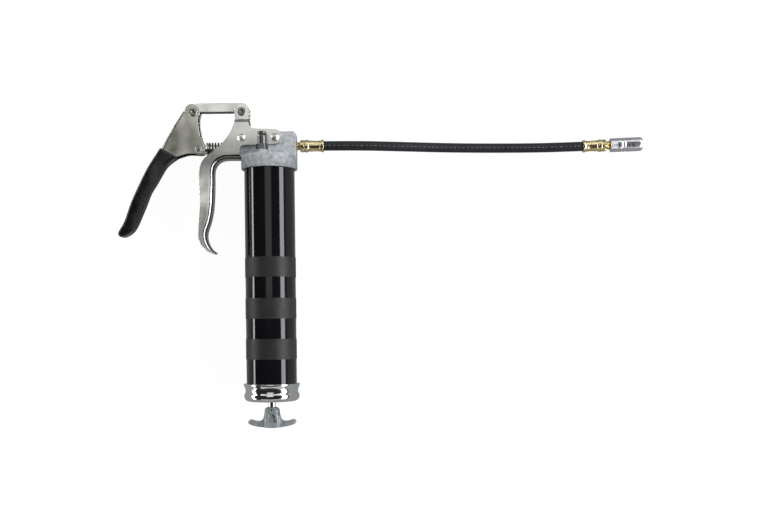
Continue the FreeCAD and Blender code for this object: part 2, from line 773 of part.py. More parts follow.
def coupler_body():
    start = COUPLER_START
    profile = [(4.9, start), (7.5, start), (COUPLER_R, start + 0.8)]
    for rib in range(5):
        low = start + 2.4 + rib * 1.7
        profile += [(COUPLER_R, low), (COUPLER_R - 0.45, low + 0.4), (COUPLER_R - 0.45, low + 0.9),
                    (COUPLER_R, low + 1.3)]
    profile += [(COUPLER_R, start + 16.0), (6.1, start + 16.0), (6.1, start + 22.0),
                (2.0, start + 22.0), (2.0, start + 9.4), (4.9, start + 9.4)]
    return far_end(turned(profile, "x"))


def coupler_sleeve():
    start = COUPLER_START + 16.0
    end = COUPLER_START + COUPLER_LENGTH
    profile = [(6.15, start), (COUPLER_R - 0.5, start), (COUPLER_R - 0.5, start + 0.7),
               (COUPLER_R, start + 0.7), (COUPLER_R, start + 5.2), (COUPLER_R - 0.5, start + 5.6),
               (COUPLER_R - 0.5, start + 6.6), (COUPLER_R, start + 7.0), (COUPLER_R, end - 3.4),
               (6.6, end - 0.4), (6.2, end), (4.7, end), (4.7, end - 1.0), (6.15, end - 4.5)]
    return far_end(turned(profile, "x"))


def coupler_jaws():
    end = COUPLER_START + COUPLER_LENGTH
    profile = [(3.75, end - 9.5), (5.9, end - 9.5), (5.9, end - 4.9), (4.5, end - 1.2),
               (4.5, end - 0.6), (3.75, end - 0.6)]
    shape = turned(profile, "x")
    for turn in range(3):
        slot = block(end - 6.5, end + 1, -0.4, 0.4, 0.0, 9.0)
        slot.rotate(V(0, 0, 0), X_AXIS, 120 * turn)
        shape = shape.cut(slot)
    return far_end(shape)


def coupler_spring():
    start = COUPLER_START + 22.0
    end = COUPLER_START + COUPLER_LENGTH - 9.5
    return far_end(coil(5.2, 0.45, start, end, 3, "x"))


def coupler_seal():
    start = COUPLER_START + 22.0
    return far_end(ring(4.3, 1.6, start, start + 5.0, "x"))


# ---------------------------------------------------------------- assembly

def build_all():
    nodes = {}
    nodes["head_casting"] = head_casting()
    nodes["front_handle"] = front_handle()
    for name, at in RIVET_POINTS.items():
        nodes[name] = frame_rivet(at)
    nodes["link_pivot_rivet"] = pivot_rivet(PIVOT_A, LUG_HALF, PIVOT_PIN_R, 5.2, 1.2, 2.4)
    nodes["lever_pivot_rivet"] = pivot_rivet(PIVOT_B, LEVER_HALF, PIVOT_PIN_R, 5.2, 1.2, 2.4)
    nodes["plunger_pin"] = pivot_rivet(PIVOT_C, LEVER_HALF, CROSS_PIN_R, 3.8, 0.8, 1.3)
    nodes["top_link"] = top_link()
    nodes["rear_lever"] = rear_lever()
    nodes["lever_grip"] = lever_grip()
    nodes["pump_plunger"] = pump_plunger()
    nodes["plunger_spring_seat"] = plunger_spring_seat()
    nodes["return_spring"] = return_spring()
    nodes["plunger_gland_nut"] = plunger_gland_nut()
    nodes["plunger_packing"] = plunger_packing()
    nodes["barrel_gasket"] = barrel_gasket()
    nodes["check_ball"] = check_ball()
    nodes["check_spring"] = check_spring()
    nodes["vent_valve_body"] = vent_valve_body()
    nodes["vent_button"] = vent_button()
    nodes["vent_spring"] = vent_spring()
    nodes["barrel_tube"] = barrel_tube()
    for name, (low, high) in BAND_RANGES.items():
        nodes[name] = grip_band(low, high)
    nodes["barrel_cap"] = barrel_cap()
    nodes["rod_bushing"] = rod_bushing()
    nodes["rod_seal"] = rod_seal()
    nodes["follower_rod"] = follower_rod()
    nodes["follower_cup"] = follower_cup()
    nodes["follower_disc_front"] = follower_disc(FOLLOWER_TOP)
    nodes["follower_disc_rear"] = follower_disc(FOLLOWER_TOP - 5.5)
    nodes["follower_nut"] = follower_nut()
    nodes["follower_clip"] = follower_clip()
    nodes["follower_spring"] = follower_spring()
    nodes["rod_handle"] = rod_handle()
    nodes["handle_pin"] = handle_pin()
    nodes["hose_nipple_rear"] = hose_nipple_rear()
    nodes["hose_ferrule_rear"] = hose_ferrule_rear()
    nodes["hose"] = hose()
    nodes["hose_ferrule_front"] = hose_ferrule_front()
    nodes["hose_nipple_front"] = hose_nipple_front()
    nodes["coupler_body"] = coupler_body()
    nodes["coupler_sleeve"] = coupler_sleeve()
    nodes["coupler_jaws"] = coupler_jaws()
    nodes["coupler_spring"] = coupler_spring()
    nodes["coupler_seal"] = coupler_seal()
    return nodes


def export(nodes):
    os.makedirs("parts", exist_ok=True)
    for name, shape in nodes.items():
        shape.translate(SHIFT)
        shape.exportStep("parts/" + name + ".step")
        box = shape.BoundBox
        print(name, "solids", len(shape.Solids), "valid", shape.isValid(),
              "volume", round(shape.Volume, 1),
              "x", round(box.XMin, 2), round(box.XMax, 2),
              "y", round(box.YMin, 2), round(box.YMax, 2),
              "z", round(box.ZMin, 2), round(box.ZMax, 2))


export(build_all())
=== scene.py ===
"""Pistol grip grease gun on a white bench: fine shapes, finishes, light and camera.

Sizes in the tables are millimetres in the design frame: X = 0 and Z = 0 on the barrel
axis, Y = 0 on the plunger axis. place() turns them into metres in the row frame.
"""
import bpy
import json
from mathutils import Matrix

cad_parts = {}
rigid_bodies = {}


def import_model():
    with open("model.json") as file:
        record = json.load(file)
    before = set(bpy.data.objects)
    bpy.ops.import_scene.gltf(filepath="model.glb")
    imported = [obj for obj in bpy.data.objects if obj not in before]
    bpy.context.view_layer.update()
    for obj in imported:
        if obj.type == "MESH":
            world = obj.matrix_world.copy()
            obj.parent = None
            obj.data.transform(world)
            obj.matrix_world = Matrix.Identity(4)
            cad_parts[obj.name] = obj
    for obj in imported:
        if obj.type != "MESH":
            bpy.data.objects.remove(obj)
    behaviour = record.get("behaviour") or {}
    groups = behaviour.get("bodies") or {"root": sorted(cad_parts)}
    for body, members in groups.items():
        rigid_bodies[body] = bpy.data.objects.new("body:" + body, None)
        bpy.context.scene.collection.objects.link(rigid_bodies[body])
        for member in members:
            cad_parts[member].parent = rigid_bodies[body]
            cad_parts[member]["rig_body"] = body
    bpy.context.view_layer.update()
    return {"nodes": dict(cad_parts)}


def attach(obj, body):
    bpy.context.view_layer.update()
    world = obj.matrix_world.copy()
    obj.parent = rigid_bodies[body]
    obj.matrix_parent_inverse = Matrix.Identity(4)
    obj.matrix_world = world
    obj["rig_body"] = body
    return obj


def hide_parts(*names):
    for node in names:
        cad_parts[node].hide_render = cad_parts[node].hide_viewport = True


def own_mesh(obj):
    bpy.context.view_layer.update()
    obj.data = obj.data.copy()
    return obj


for leftover in list(bpy.data.objects):
    bpy.data.objects.remove(leftover)
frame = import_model()

import json
import math
import bmesh
from mathutils import Matrix, Vector

MM = 0.001
SHIFT = Vector((54.75, 133.6, 32.0))
X_AXIS = Vector((1, 0, 0))
Y_AXIS = Vector((0, 1, 0))
Z_AXIS = Vector((0, 0, 1))

# Camera, straight above the bench
CAMERA_PLACE = (124.24, -208.55, 1157.0)
CAMERA_TURN = -0.01148
CAMERA_LENS = 47.95
CAMERA_SHIFT_Y = 0.0842

# Hose route: the same points as the CAD tube, in millimetres
HOSE_POINTS = [
    (62.5, 2.50, 0.0),
    (99.0, 2.50, 0.0),
    (146.0, 2.45, -8.5),
    (202.0, 2.55, -21.0),
    (254.0, 2.50, -26.4),
    (306.0, 2.15, -26.4),
    (338.0, 2.20, -23.9),
    (363.0, 2.92, -23.9),
]
HOSE_R = 5.45

# The row of worn dashes: metres apart, inked share of each step, share of the way round
INK_PITCH = 0.0052
INK_SHARE = 0.6
INK_WIDTH = 0.03

# Stations of the hose outlet, barrel cap, vent valve and hose fittings, in millimetres
OUTLET_Y = 2.5
CAP_TOP_Y = -268.0
VALVE_X = -6.1
VALVE_Z = 18.0
REAR_FACE_X = 40.4
FERRULE_LONG = 22.1
SHANK_LONG = 14.1


def place(x, y, z=0.0):
    return (Vector((x, y, z)) + SHIFT) * MM


# ---------------------------------------------------------------- camera and hose

def make_camera():
    data = bpy.data.cameras.new("camera")
    data.sensor_width = 36
    data.lens = CAMERA_LENS
    data.shift_y = CAMERA_SHIFT_Y
    data.clip_end = 50
    camera = bpy.data.objects.new("camera", data)
    camera.location = place(*CAMERA_PLACE)
    camera.rotation_euler = (0, 0, CAMERA_TURN)
    bpy.context.collection.objects.link(camera)
    bpy.context.scene.camera = camera


def new_object(name, mesh):
    thing = bpy.data.objects.new(name, mesh)
    bpy.context.collection.objects.link(thing)
    return thing


def hose_line():
    """Points along the hose's own smooth line, in metres."""
    curve = bpy.data.curves.new("hose_line", "CURVE")
    curve.dimensions = "3D"
    curve.resolution_u = 14
    spline = curve.splines.new("NURBS")
    spline.points.add(len(HOSE_POINTS) - 1)
    for point, corner in zip(spline.points, HOSE_POINTS):
        point.co = (*place(*corner), 1.0)
    spline.order_u = 3
    spline.use_endpoint_u = True
    line = new_object("hose_line", curve)
    mesh = bpy.data.meshes.new_from_object(line)
    points = [vertex.co.copy() for vertex in mesh.vertices]
    bpy.data.objects.remove(line)
    bpy.data.meshes.remove(mesh)
    bpy.data.curves.remove(curve)
    return points


def tube_mesh(name, points, radius, around=40, flat_start=None, flat_end=None):
    """A round tube along points, with capped ends and a length-wise UV map."""
    rings = []
    side = Z_AXIS
    travelled = 0.0
    mesh = bmesh.new()
    for index, point in enumerate(points):
        before = points[max(index - 1, 0)]
        after = points[min(index + 1, len(points) - 1)]
        way = (after - before).normalized()
        if index == 0 and flat_start:
            way = flat_start
        if index == len(points) - 1 and flat_end:
            way = flat_end
        side = (side - way * side.dot(way)).normalized()
        other = way.cross(side)
        if index:
            travelled += (point - points[index - 1]).length
        ring = []
        for step in range(around):
            angle = 2 * math.pi * step / around
            spot = point + (side * math.cos(angle) + other * math.sin(angle)) * radius
            ring.append(mesh.verts.new(spot))
        rings.append((ring, travelled))
    layer = mesh.loops.layers.uv.new("run")
    for (first, start), (second, end) in zip(rings, rings[1:]):
        for step in range(around):
            following = (step + 1) % around
            face = mesh.faces.new((first[step], first[following], second[following], second[step]))
            low = step / around
            high = (step + 1) / around
            for loop, uv in zip(face.loops, ((start, low), (start, high), (end, high), (end, low))):
                loop[layer].uv = uv
    mesh.faces.new(list(reversed(rings[0][0])))
    mesh.faces.new(rings[-1][0])
    return finish_mesh(name, mesh)


def finish_mesh(name, mesh, sharp=40.0):
    bmesh.ops.recalc_face_normals(mesh, faces=mesh.faces)
    data = bpy.data.meshes.new(name)
    mesh.to_mesh(data)
    mesh.free()
    data.shade_smooth()
    data.set_sharp_from_angle(angle=math.radians(sharp))
    return data


# ---------------------------------------------------------------- finishes

class Finish:
    """One procedural material. Its methods add nodes and return the socket to use next."""

    def __init__(self, name, base, metallic=0.0, roughness=0.4, **others):
        self.material = bpy.data.materials.new(name)
        self.material.use_nodes = True
        self.tree = self.material.node_tree
        self.shader = self.tree.nodes["Principled BSDF"]
        self.shader.inputs["Base Color"].default_value = (*base, 1.0)
        self.shader.inputs["Metallic"].default_value = metallic
        self.shader.inputs["Roughness"].default_value = roughness
        for key, value in others.items():
            self.shader.inputs[key.replace("_", " ")].default_value = value
        self.where = self.add("ShaderNodeTexCoord").outputs["Object"]

    def add(self, kind, **settings):
        node = self.tree.nodes.new(kind)
        for key, value in settings.items():
            setattr(node, key, value)
        return node

    def feed(self, socket, source):
        if isinstance(source, bpy.types.NodeSocket):
            self.tree.links.new(source, socket)
        else:
            socket.default_value = source

    def noise(self, size, detail=3.0, rough=0.5, stretch=None, where=None):
        """Noise whose features are about size metres across."""
        node = self.add("ShaderNodeTexNoise")
        node.inputs["Scale"].default_value = 1.0 / size
        node.inputs["Detail"].default_value = detail
        node.inputs["Roughness"].default_value = rough
        source = where or self.where
        if stretch:
            mapping = self.add("ShaderNodeMapping")
            mapping.inputs["Scale"].default_value = stretch
            self.feed(mapping.inputs["Vector"], source)
            source = mapping.outputs["Vector"]
        self.feed(node.inputs["Vector"], source)
        return node.outputs["Fac"]

    def spread(self, value, low, high, out_low, out_high):
        """value from low to high becomes out_low to out_high."""
        node = self.add("ShaderNodeMapRange")
        for key, number in (("From Min", low), ("From Max", high), ("To Min", out_low),
                            ("To Max", out_high)):
            node.inputs[key].default_value = number
        self.feed(node.inputs["Value"], value)
        return node.outputs["Result"]

    def tint(self, amount, first, second):
        node = self.add("ShaderNodeMix", data_type="RGBA")
        self.feed(node.inputs["Factor"], amount)
        for socket, colour in ((node.inputs[6], first), (node.inputs[7], second)):
            if isinstance(colour, bpy.types.NodeSocket):
                self.feed(socket, colour)
            else:
                socket.default_value = (*colour, 1.0)
        return node.outputs[2]

    def tone(self, stops):
        """A grey for painted light and shade that follows the design Y coordinate, from (millimetres, grey)
        stops.
        """
        parts = self.add("ShaderNodeSeparateXYZ")
        self.feed(parts.inputs[0], self.where)
        low = stops[0][0]
        high = stops[-1][0]
        share = self.spread(parts.outputs["Y"], (low + SHIFT.y) * MM, (high + SHIFT.y) * MM, 0.0, 1.0)
        ramp = self.add("ShaderNodeValToRGB")
        ramp.color_ramp.interpolation = "EASE"
        elements = ramp.color_ramp.elements
        while len(elements) < len(stops):
            elements.new(0.5)
        for element, (station, grey) in zip(elements, stops):
            element.position = (station - low) / (high - low)
            element.color = (grey, grey, grey, 1)
        self.feed(ramp.inputs["Fac"], share)
        return ramp.outputs["Color"]

    def turned(self, axis, low, high, grey, normal=None):
        """A painted-shade factor: white, going down to one grey where the surface turns towards a design
        axis.
        """
        if normal is None:
            normal = self.add("ShaderNodeTexCoord").outputs["Normal"]
        parts = self.add("ShaderNodeSeparateXYZ")
        self.feed(parts.inputs[0], normal)
        return self.spread(parts.outputs[axis], low, high, 1.0, grey)

    def times(self, first, second):
        node = self.add("ShaderNodeMix", data_type="RGBA", blend_type="MULTIPLY")
        node.inputs["Factor"].default_value = 1.0
        self.feed(node.inputs[6], first)
        self.feed(node.inputs[7], second)
        return node.outputs[2]

    def maths(self, operation, first, second=0.0):
        node = self.add("ShaderNodeMath", operation=operation)
        self.feed(node.inputs[0], first)
        self.feed(node.inputs[1], second)
        return node.outputs[0]

    def soft_edges(self, radius):
        """The normal with every sharp edge rounded to a radius in metres."""
        node = self.add("ShaderNodeBevel", samples=6)
        node.inputs["Radius"].default_value = radius
        return node.outputs["Normal"]

    def edge_amount(self, rounded):
        """About 1 on edges and 0 on flats, from the rounded normal."""
        plain = self.add("ShaderNodeNewGeometry").outputs["Normal"]
        node = self.add("ShaderNodeVectorMath", operation="DOT_PRODUCT")
        self.feed(node.inputs[0], rounded)
        self.feed(node.inputs[1], plain)
        return self.spread(node.outputs["Value"], 0.99, 0.80, 0.0, 1.0)

    def bump(self, height, strength, depth, normal=None):
        """A bump whose full height is depth metres."""
        node = self.add("ShaderNodeBump")
        node.inputs["Strength"].default_value = strength
        node.inputs["Distance"].default_value = depth
        self.feed(node.inputs["Height"], height)
        if normal is not None:
            self.feed(node.inputs["Normal"], normal)
        return node.outputs["Normal"]

    def use(self, **sources):
        for key, source in sources.items():
            self.feed(self.shader.inputs[key.replace("_", " ")], source)
        return self.material


# Painted shade on a plate's side faces, how dark it gets: (axis, starts at, full at, grey)
PLATE_SIDE_SHADE = (
    ("X", 0.5, 0.88, 0.13),
    ("X", -0.5, -0.88, 0.25),
    ("Y", 0.55, 0.9, 0.35),
    ("Y", -0.55, -0.9, 0.2),
)


def nickel_plate(name, dark, light, softness, stops=None):
    """Stamped sheet with a satin plate: cloudy, gently uneven, with a painted highlight on its rims and
    painted shade on its side faces.

    stops, if given, darken and lighten the sheet along Y as painted light and shade over its pressed form.
    """
    paint = Finish(name, light, metallic=1.0, roughness=0.3)
    clouds = paint.noise(0.045, 2.5, 0.5)
    patches = paint.noise(0.009, 4.0, 0.6)
    grain = paint.noise(0.0011, 3.0, 0.6)
    waves = paint.noise(0.030, 1.0, 0.4)
    rounded = paint.soft_edges(softness)
    edge = paint.edge_amount(rounded)
    colour = paint.tint(paint.spread(clouds, 0.36, 0.64, 0.0, 1.0), dark, light)
    stain = paint.tint(paint.spread(patches, 0.3, 0.7, 0.0, 1.0), (0.86, 0.86, 0.83), (1.0, 1.0, 1.0))
    colour = paint.times(colour, stain)
    # Painted light and shade along Y.
    if stops:
        colour = paint.times(colour, paint.tone(stops))
    # Painted highlight: rims lightened along the rounded edges.
    colour = paint.tint(paint.maths("MULTIPLY", edge, 0.7), colour, (0.9, 0.9, 0.87))
    # Painted shade: side faces darkened by which way they turn.
    for axis, low, high, grey in PLATE_SIDE_SHADE:
        colour = paint.times(colour, paint.turned(axis, low, high, grey, rounded))
    rough = paint.spread(patches, 0.3, 0.7, 0.17, 0.26)
    rough = paint.maths("ADD", rough, paint.spread(grain, 0.3, 0.7, -0.03, 0.03))
    normal = paint.bump(waves, 1.0, 0.0015, rounded)
    normal = paint.bump(patches, 0.3, 0.00015, normal)
    normal = paint.bump(grain, 0.1, 0.00005, normal)
    return paint.use(Base_Color=colour, Roughness=rough, Normal=normal)


def cast_metal(name, dark, light, metallic, stops=None):
    """Sand-textured zinc casting, mottled and matte, with painted shade on faces turned to the sides.

    stops, if given, darken and lighten the casting along Y as painted light and shade.
    """
    paint = Finish(name, light, metallic=metallic, roughness=0.6)
    mottle = paint.noise(0.005, 5.0, 0.65)
    sand = paint.noise(0.0008, 4.0, 0.7)
    cool = paint.noise(0.02, 3.0, 0.6)
    colour = paint.tint(paint.spread(mottle, 0.32, 0.68, 0.0, 1.0), dark, light)
    colour = paint.tint(paint.spread(cool, 0.42, 0.7, 0.0, 0.3), colour, (0.42, 0.44, 0.49))
    # Painted light and shade along Y.
    if stops:
        colour = paint.times(colour, paint.tone(stops))
    # Painted shade on faces turned towards plus and minus X.
    colour = paint.times(colour, paint.turned("X", 0.3, 0.95, 0.5))
    colour = paint.times(colour, paint.turned("X", -0.3, -0.95, 0.55))
    rough = paint.spread(mottle, 0.3, 0.7, 0.72, 0.5)
    normal = paint.bump(mottle, 0.6, 0.0005)
    normal = paint.bump(sand, 0.6, 0.0002, normal)
    return paint.use(Base_Color=colour, Roughness=rough, Normal=normal)


def bright_steel():
    paint = Finish("bright_steel", (0.7, 0.7, 0.68), metallic=1.0, roughness=0.2)
    smudge = paint.noise(0.003, 3.0, 0.5)
    rounded = paint.soft_edges(0.0003)
    colour = paint.tint(smudge, (0.62, 0.62, 0.60), (0.80, 0.80, 0.78))
    normal = paint.bump(paint.noise(0.0008, 2.0, 0.5), 0.1, 0.00005, rounded)
    return paint.use(Base_Color=colour, Roughness=paint.spread(smudge, 0.3, 0.7, 0.16, 0.28), Normal=normal)


def zinc_plate():
    """Spun cap and rod: bright plate with faint turned lines."""
    paint = Finish("zinc_plate", (0.8, 0.81, 0.8), metallic=1.0, roughness=0.1)
    lines = paint.noise(0.0006, 2.0, 0.5, stretch=(0.02, 1.0, 0.02))
    clouds = paint.noise(0.012, 4.0, 0.6)
    colour = paint.tint(clouds, (0.54, 0.565, 0.55), (0.70, 0.72, 0.71))
    rough = paint.spread(clouds, 0.3, 0.7, 0.07, 0.16)
    normal = paint.bump(lines, 0.08, 0.00003)
    normal = paint.bump(paint.noise(0.006, 2.0, 0.5), 0.06, 0.0002, normal)
    return paint.use(Base_Color=colour, Roughness=rough, Normal=normal)


def barrel_enamel():
    """Gloss black enamel with a slight orange peel and a little dust."""
    paint = Finish("barrel_enamel", (0.006, 0.006, 0.007), roughness=0.07, Specular_IOR_Level=0.42)
    dust = paint.noise(0.0009, 3.0, 0.6)
    haze = paint.noise(0.03, 3.0, 0.5, stretch=(1.0, 0.3, 1.0))
    colour = paint.tint(paint.spread(dust, 0.62, 0.75, 0.0, 0.6), (0.005, 0.005, 0.006), (0.02, 0.02, 0.022))
    rough = paint.spread(haze, 0.3, 0.7, 0.05, 0.12)
    normal = paint.bump(paint.noise(0.003, 2.0, 0.5), 0.15, 0.00006)
    return paint.use(Base_Color=colour, Roughness=rough, Normal=normal)


def band_grip():
    """Matte finely pebbled grip bands round the barrel."""
    paint = Finish("band_grip", (0.02, 0.02, 0.02), roughness=0.5, Specular_IOR_Level=0.32)
    pebble = paint.add("ShaderNodeTexVoronoi")
    pebble.inputs["Scale"].default_value = 1250.0
    paint.feed(pebble.inputs["Vector"], paint.where)
    wear = paint.noise(0.01, 4.0, 0.6)
    colour = paint.tint(wear, (0.012, 0.012, 0.012), (0.026, 0.025, 0.024))
    rough = paint.spread(wear, 0.3, 0.7, 0.42, 0.55)
    normal = paint.bump(pebble.outputs["Distance"], 0.5, 0.00012)
    return paint.use(Base_Color=colour, Roughness=rough, Normal=normal)


def dipped_vinyl():
    """Glossy dipped grip: deep black, with soft waves in the skin and full rounded edges."""
    paint = Finish("dipped_vinyl", (0.005, 0.005, 0.006), roughness=0.16, Specular_IOR_Level=0.44)
    waves = paint.noise(0.009, 2.0, 0.4)
    skin = paint.noise(0.0012, 2.0, 0.5)
    colour = paint.tint(waves, (0.004, 0.004, 0.005), (0.009, 0.009, 0.010))
    rough = paint.spread(waves, 0.3, 0.7, 0.13, 0.24)
    rounded = paint.soft_edges(0.004)
    # Painted shade on the gloss: the specular level drops on faces turned towards plus X.
    side_shaded_specular = paint.turned("X", 0.3, 0.75, 0.1, rounded)
    side_shaded_specular = paint.maths("MULTIPLY", side_shaded_specular, 0.44)
    normal = paint.bump(paint.noise(0.03, 1.0, 0.4), 1.0, 0.0012, rounded)
    normal = paint.bump(waves, 0.4, 0.0005, normal)
    normal = paint.bump(skin, 0.08, 0.00005, normal)
    return paint.use(Base_Color=colour, Roughness=rough, Normal=normal, Specular_IOR_Level=side_shaded_specular)


def machined_brass():
    paint = Finish("machined_brass", (0.8, 0.63, 0.3), metallic=1.0, roughness=0.2)
    lines = paint.noise(0.0008, 2.0, 0.6, stretch=(1.0, 0.03, 0.03))
    tarnish = paint.noise(0.004, 4.0, 0.6)
    rounded = paint.soft_edges(0.00025)
    colour = paint.tint(paint.spread(tarnish, 0.35, 0.7, 0.0, 1.0), (0.80, 0.70, 0.42), (0.52, 0.42, 0.19))
    rough = paint.spread(tarnish, 0.3, 0.7, 0.16, 0.28)
    normal = paint.bump(lines, 0.1, 0.00004, rounded)
    return paint.use(Base_Color=colour, Roughness=rough, Normal=normal)


def hose_rubber():
    """Satin black rubber with a wrap mark and a row of worn grey dashes in place of print."""
    paint = Finish("hose_rubber", (0.014, 0.015, 0.016), roughness=0.42, Specular_IOR_Level=0.28)
    run = paint.add("ShaderNodeUVMap", uv_map="run").outputs["UV"]
    wrap = paint.noise(0.0012, 3.0, 0.6, stretch=(1.0, 0.02, 1.0), where=run)
    clouds = paint.noise(0.012, 3.0, 0.5)
    parts = paint.add("ShaderNodeSeparateXYZ")
    paint.feed(parts.inputs[0], run)
    along = parts.outputs["X"]
    round_it = parts.outputs["Y"]
    beat = paint.maths("FRACT", paint.maths("DIVIDE", along, INK_PITCH), 0.0)
    dash = paint.maths("LESS_THAN", beat, INK_SHARE)
    band = paint.maths("LESS_THAN", round_it, INK_WIDTH)
    print_ink = paint.maths("MULTIPLY", dash, band)
    worn = paint.spread(paint.noise(0.0012, 3.0, 0.7), 0.42, 0.6, 0.0, 0.35)
    ink = paint.maths("MULTIPLY", print_ink, worn)
    colour = paint.tint(clouds, (0.010, 0.011, 0.012), (0.018, 0.019, 0.021))
    colour = paint.tint(ink, colour, (0.45, 0.46, 0.47))
    rough = paint.spread(clouds, 0.3, 0.7, 0.34, 0.48)
    normal = paint.bump(wrap, 0.25, 0.0001)
    return paint.use(Base_Color=colour, Roughness=rough, Normal=normal)


def turned_steel():
    """Machined and plated coupler steel with faint tool lines round it."""
    paint = Finish("turned_steel", (0.7, 0.71, 0.72), metallic=1.0, roughness=0.26)
    lines = paint.noise(0.0012, 2.0, 0.5, stretch=(1.0, 0.02, 0.02))
    clouds = paint.noise(0.008, 3.0, 0.6)
    rounded = paint.soft_edges(0.0003)
    colour = paint.tint(clouds, (0.54, 0.55, 0.57), (0.70, 0.71, 0.72))
    rough = paint.spread(clouds, 0.3, 0.7, 0.22, 0.32)
    normal = paint.bump(lines, 0.06, 0.00004, rounded)
    return paint.use(Base_Color=colour, Roughness=rough, Normal=normal)


def rolled_metal():
    """Dull steel for the rolled rims of the tubular rivets, worn in fine patches."""
    paint = Finish("rolled_rivet", (0.6, 0.6, 0.58), metallic=1.0, roughness=0.3)
    wear = paint.noise(0.0012, 3.0, 0.6)
    colour = paint.tint(paint.spread(wear, 0.35, 0.65, 0.0, 1.0), (0.16, 0.16, 0.15), (0.42, 0.42, 0.40))
    rough = paint.spread(wear, 0.3, 0.7, 0.22, 0.36)
    normal = paint.bump(wear, 0.4, 0.0002)
    return paint.use(Base_Color=colour, Roughness=rough, Normal=normal)


def plain_metal(name, dark, light, rough_low, rough_high, metallic=1.0):
    """A small part's finish: mottled colour, uneven polish and softened edges."""
    paint = Finish(name, dark, metallic=metallic, roughness=rough_low)
    mottle = paint.noise(0.0025, 3.0, 0.6)
    colour = paint.tint(mottle, dark, light)
    rough = paint.spread(mottle, 0.3, 0.7, rough_low, rough_high)
    normal = paint.bump(paint.noise(0.0006, 2.0, 0.5), 0.15, 0.00005, paint.soft_edges(0.0002))
    return paint.use(Base_Color=colour, Roughness=rough, Normal=normal)


# Painted shade on the head casting along Y, darker towards minus Y on the collar: (station, grey)
CAST_PAINTED_SHADE = ((-26, 0.66), (-16, 0.76), (-6, 1.0), (20, 1.0))

FINISHES = {
    "die_cast": cast_metal("cast_metal", (0.30, 0.335, 0.34), (0.66, 0.695, 0.71), 0.0, CAST_PAINTED_SHADE),
    "nickel_steel": nickel_plate("nickel_plate", (0.74, 0.735, 0.70), (0.90, 0.89, 0.86), 0.001),
    "rivet_steel": bright_steel(),
    "zinc_plate": zinc_plate(),
    "barrel_paint": barrel_enamel(),
    "band_texture": band_grip(),
    "black_vinyl": dipped_vinyl(),
    "brass": machined_brass(),
    "hose_rubber": hose_rubber(),
    "coupler_steel": turned_steel(),
    "spring_black": plain_metal("black_wire", (0.012, 0.012, 0.013), (0.03, 0.03, 0.03), 0.28, 0.4, 0.0),
    "spring_steel": plain_metal("spring_wire", (0.38, 0.38, 0.38), (0.55, 0.55, 0.54), 0.25, 0.35),
    "valve_steel": plain_metal("valve_plate", (0.08, 0.083, 0.083), (0.20, 0.21, 0.21), 0.24, 0.36),
    "seal_rubber": plain_metal("moulded_rubber", (0.02, 0.02, 0.02), (0.035, 0.035, 0.035), 0.5, 0.65, 0.0),
    "packing": plain_metal("pressed_fibre", (0.62, 0.6, 0.54), (0.76, 0.74, 0.68), 0.7, 0.85, 0.0),
    "plunger_steel": plain_metal("ground_steel", (0.6, 0.6, 0.61), (0.74, 0.74, 0.75), 0.1, 0.18),
}


LEVER_FINISH = nickel_plate("lever_plate", (0.30, 0.30, 0.265), (0.52, 0.515, 0.465), 0.001)
# Painted light and shade on the frame sheet along Y, lightest at the lug and darkest at the bend: (station,
# grey)
FRAME_LIGHT_AND_SHADE = (
    (-120, 0.62), (-100, 0.52), (-78, 0.60), (-52, 0.92), (-38, 0.86), (-26, 0.48), (-16, 0.30),
    (0, 0.50), (20, 0.80), (48, 1.0),
)
FRAME_FINISH = nickel_plate("frame_plate", (0.72, 0.72, 0.69), (0.88, 0.88, 0.85), 0.001, FRAME_LIGHT_AND_SHADE)
HANDLE_FINISH = cast_metal("cast_rubbed", (0.30, 0.34, 0.34), (0.58, 0.62, 0.63), 0.95)
DOME_FINISH = plain_metal("dome_plate", (0.50, 0.50, 0.49), (0.68, 0.68, 0.66), 0.36, 0.48)


def slot_of(node):
    return frame["nodes"][node].data.materials[0].name


def dress(thing, slot):
    thing.data.materials.clear()
    thing.data.materials.append(FINISHES[slot])


def stand_in(piece, *nodes):
    """The piece takes the place of CAD nodes: their body, their slot and its finish."""
    first = frame["nodes"][nodes[0]]
    slot = slot_of(nodes[0])
    dress(piece, slot)
    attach(piece, first["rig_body"])
    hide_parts(*nodes)
    return piece


# ---------------------------------------------------------------- turned parts

def rounded_loop(profile, radius, steps=4):
    """The closed outline with each corner cut to a small arc."""
    points = []
    count = len(profile)
    for index in range(count):
        here = Vector(profile[index])
        before = Vector(profile[index - 1]) - here
        after = Vector(profile[(index + 1) % count]) - here
        reach = min(radius, 0.45 * before.length, 0.45 * after.length)
        start = here + before.normalized() * reach
        end = here + after.normalized() * reach
        for step in range(steps + 1):
            share = step / steps
            points.append(start.lerp(here, share).lerp(here.lerp(end, share), share))
    return points


def spline_points(corners, steps=6):
    """A smooth open line through (radius, station) corners."""
    points = []
    last = len(corners) - 1
    for index in range(last):
        a = Vector(corners[max(index - 1, 0)])
        b = Vector(corners[index])
        c = Vector(corners[index + 1])
        d = Vector(corners[min(index + 2, last)])
        for step in range(steps):
            t = step / steps
            points.append(0.5 * ((2 * b) + (c - a) * t + (2 * a - 5 * b + 4 * c - d) * t * t
                                 + (3 * b - a - 3 * c + d) * t * t * t))
    points.append(Vector(corners[last]))
    return points


